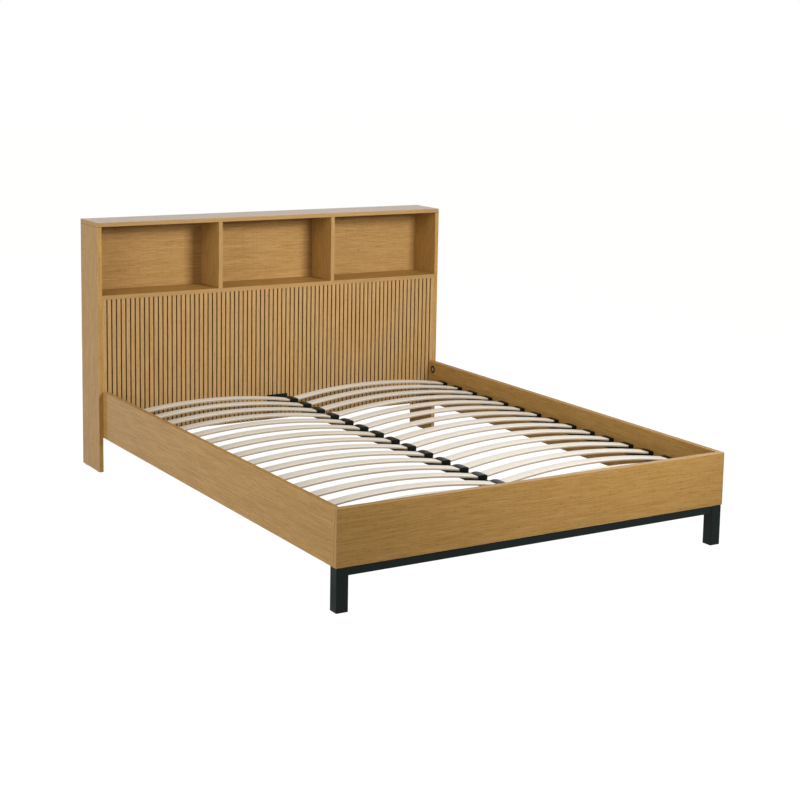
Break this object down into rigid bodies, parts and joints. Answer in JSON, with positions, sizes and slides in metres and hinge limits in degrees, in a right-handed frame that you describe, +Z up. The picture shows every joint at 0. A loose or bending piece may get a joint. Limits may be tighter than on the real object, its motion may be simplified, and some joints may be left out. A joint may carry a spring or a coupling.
{
  "type": "double bed",
  "caption": "Double bed with a deep cubby headboard over a fluted panel, panel rails, a square-tube leg frame at the foot and bowed slats on a centre beam.",
  "frame": {"origin": "centre of the overall box on the floor", "axes": "+Z up, +Y from the foot to the headboard, +X to the right seen from the foot"},
  "size_m": [1.686, 2.226, 1.07],
  "materials": {
    "oak_veneer": "satin lacquered oak veneer",
    "oak_fluted": "satin lacquered oak veneer, grooved",
    "oak_back_board": "satin lacquered oak veneer",
    "birch_slat": "sanded bent birch ply",
    "beech_dowel": "plain turned beech",
    "black_steel": "satin powder coat",
    "black_plastic": "matt moulded plastic",
    "zinc_steel": "zinc plated"
  },
  "bodies": {
    "root": {"headboard_side_left": "oak_veneer", "headboard_side_right": "oak_veneer", "headboard_top": "oak_veneer", "headboard_shelf": "oak_veneer", "divider_left": "oak_veneer", "divider_right": "oak_veneer", "cubby_back": "oak_back_board", "fluted_panel": "oak_fluted", "lower_back": "oak_back_board", "base_board": "oak_back_board", "headboard_glides": "black_plastic", "headboard_dowels": "beech_dowel", "rail_left": "oak_veneer", "rail_right": "oak_veneer", "rail_foot": "oak_veneer", "ledge_left": "black_steel", "ledge_right": "black_steel", "fitting_rings": "black_plastic", "fitting_cores": "zinc_steel", "connector_bolts": "zinc_steel", "leg_left": "black_steel", "leg_right": "black_steel", "crossbar": "black_steel", "leg_feet": "black_plastic", "holders_left": "black_plastic", "holders_right": "black_plastic", "holders_centre": "black_plastic", "centre_beam": "black_steel", "beam_brackets": "black_steel", "frame_screws": "black_steel", "slat_left_01": "birch_slat", "slat_left_02": "birch_slat", "slat_left_03": "birch_slat", "slat_left_04": "birch_slat", "slat_left_05": "birch_slat", "slat_left_06": "birch_slat", "slat_left_07": "birch_slat", "slat_left_08": "birch_slat", "slat_left_09": "birch_slat", "slat_left_10": "birch_slat", "slat_left_11": "birch_slat", "slat_left_12": "birch_slat", "slat_left_13": "birch_slat", "slat_left_14": "birch_slat", "slat_left_15": "birch_slat", "slat_right_01": "birch_slat", "slat_right_02": "birch_slat", "slat_right_03": "birch_slat", "slat_right_04": "birch_slat", "slat_right_05": "birch_slat", "slat_right_06": "birch_slat", "slat_right_07": "birch_slat", "slat_right_08": "birch_slat", "slat_right_09": "birch_slat", "slat_right_10": "birch_slat", "slat_right_11": "birch_slat", "slat_right_12": "birch_slat", "slat_right_13": "birch_slat", "slat_right_14": "birch_slat", "slat_right_15": "birch_slat"}
  },
  "joints": []
}
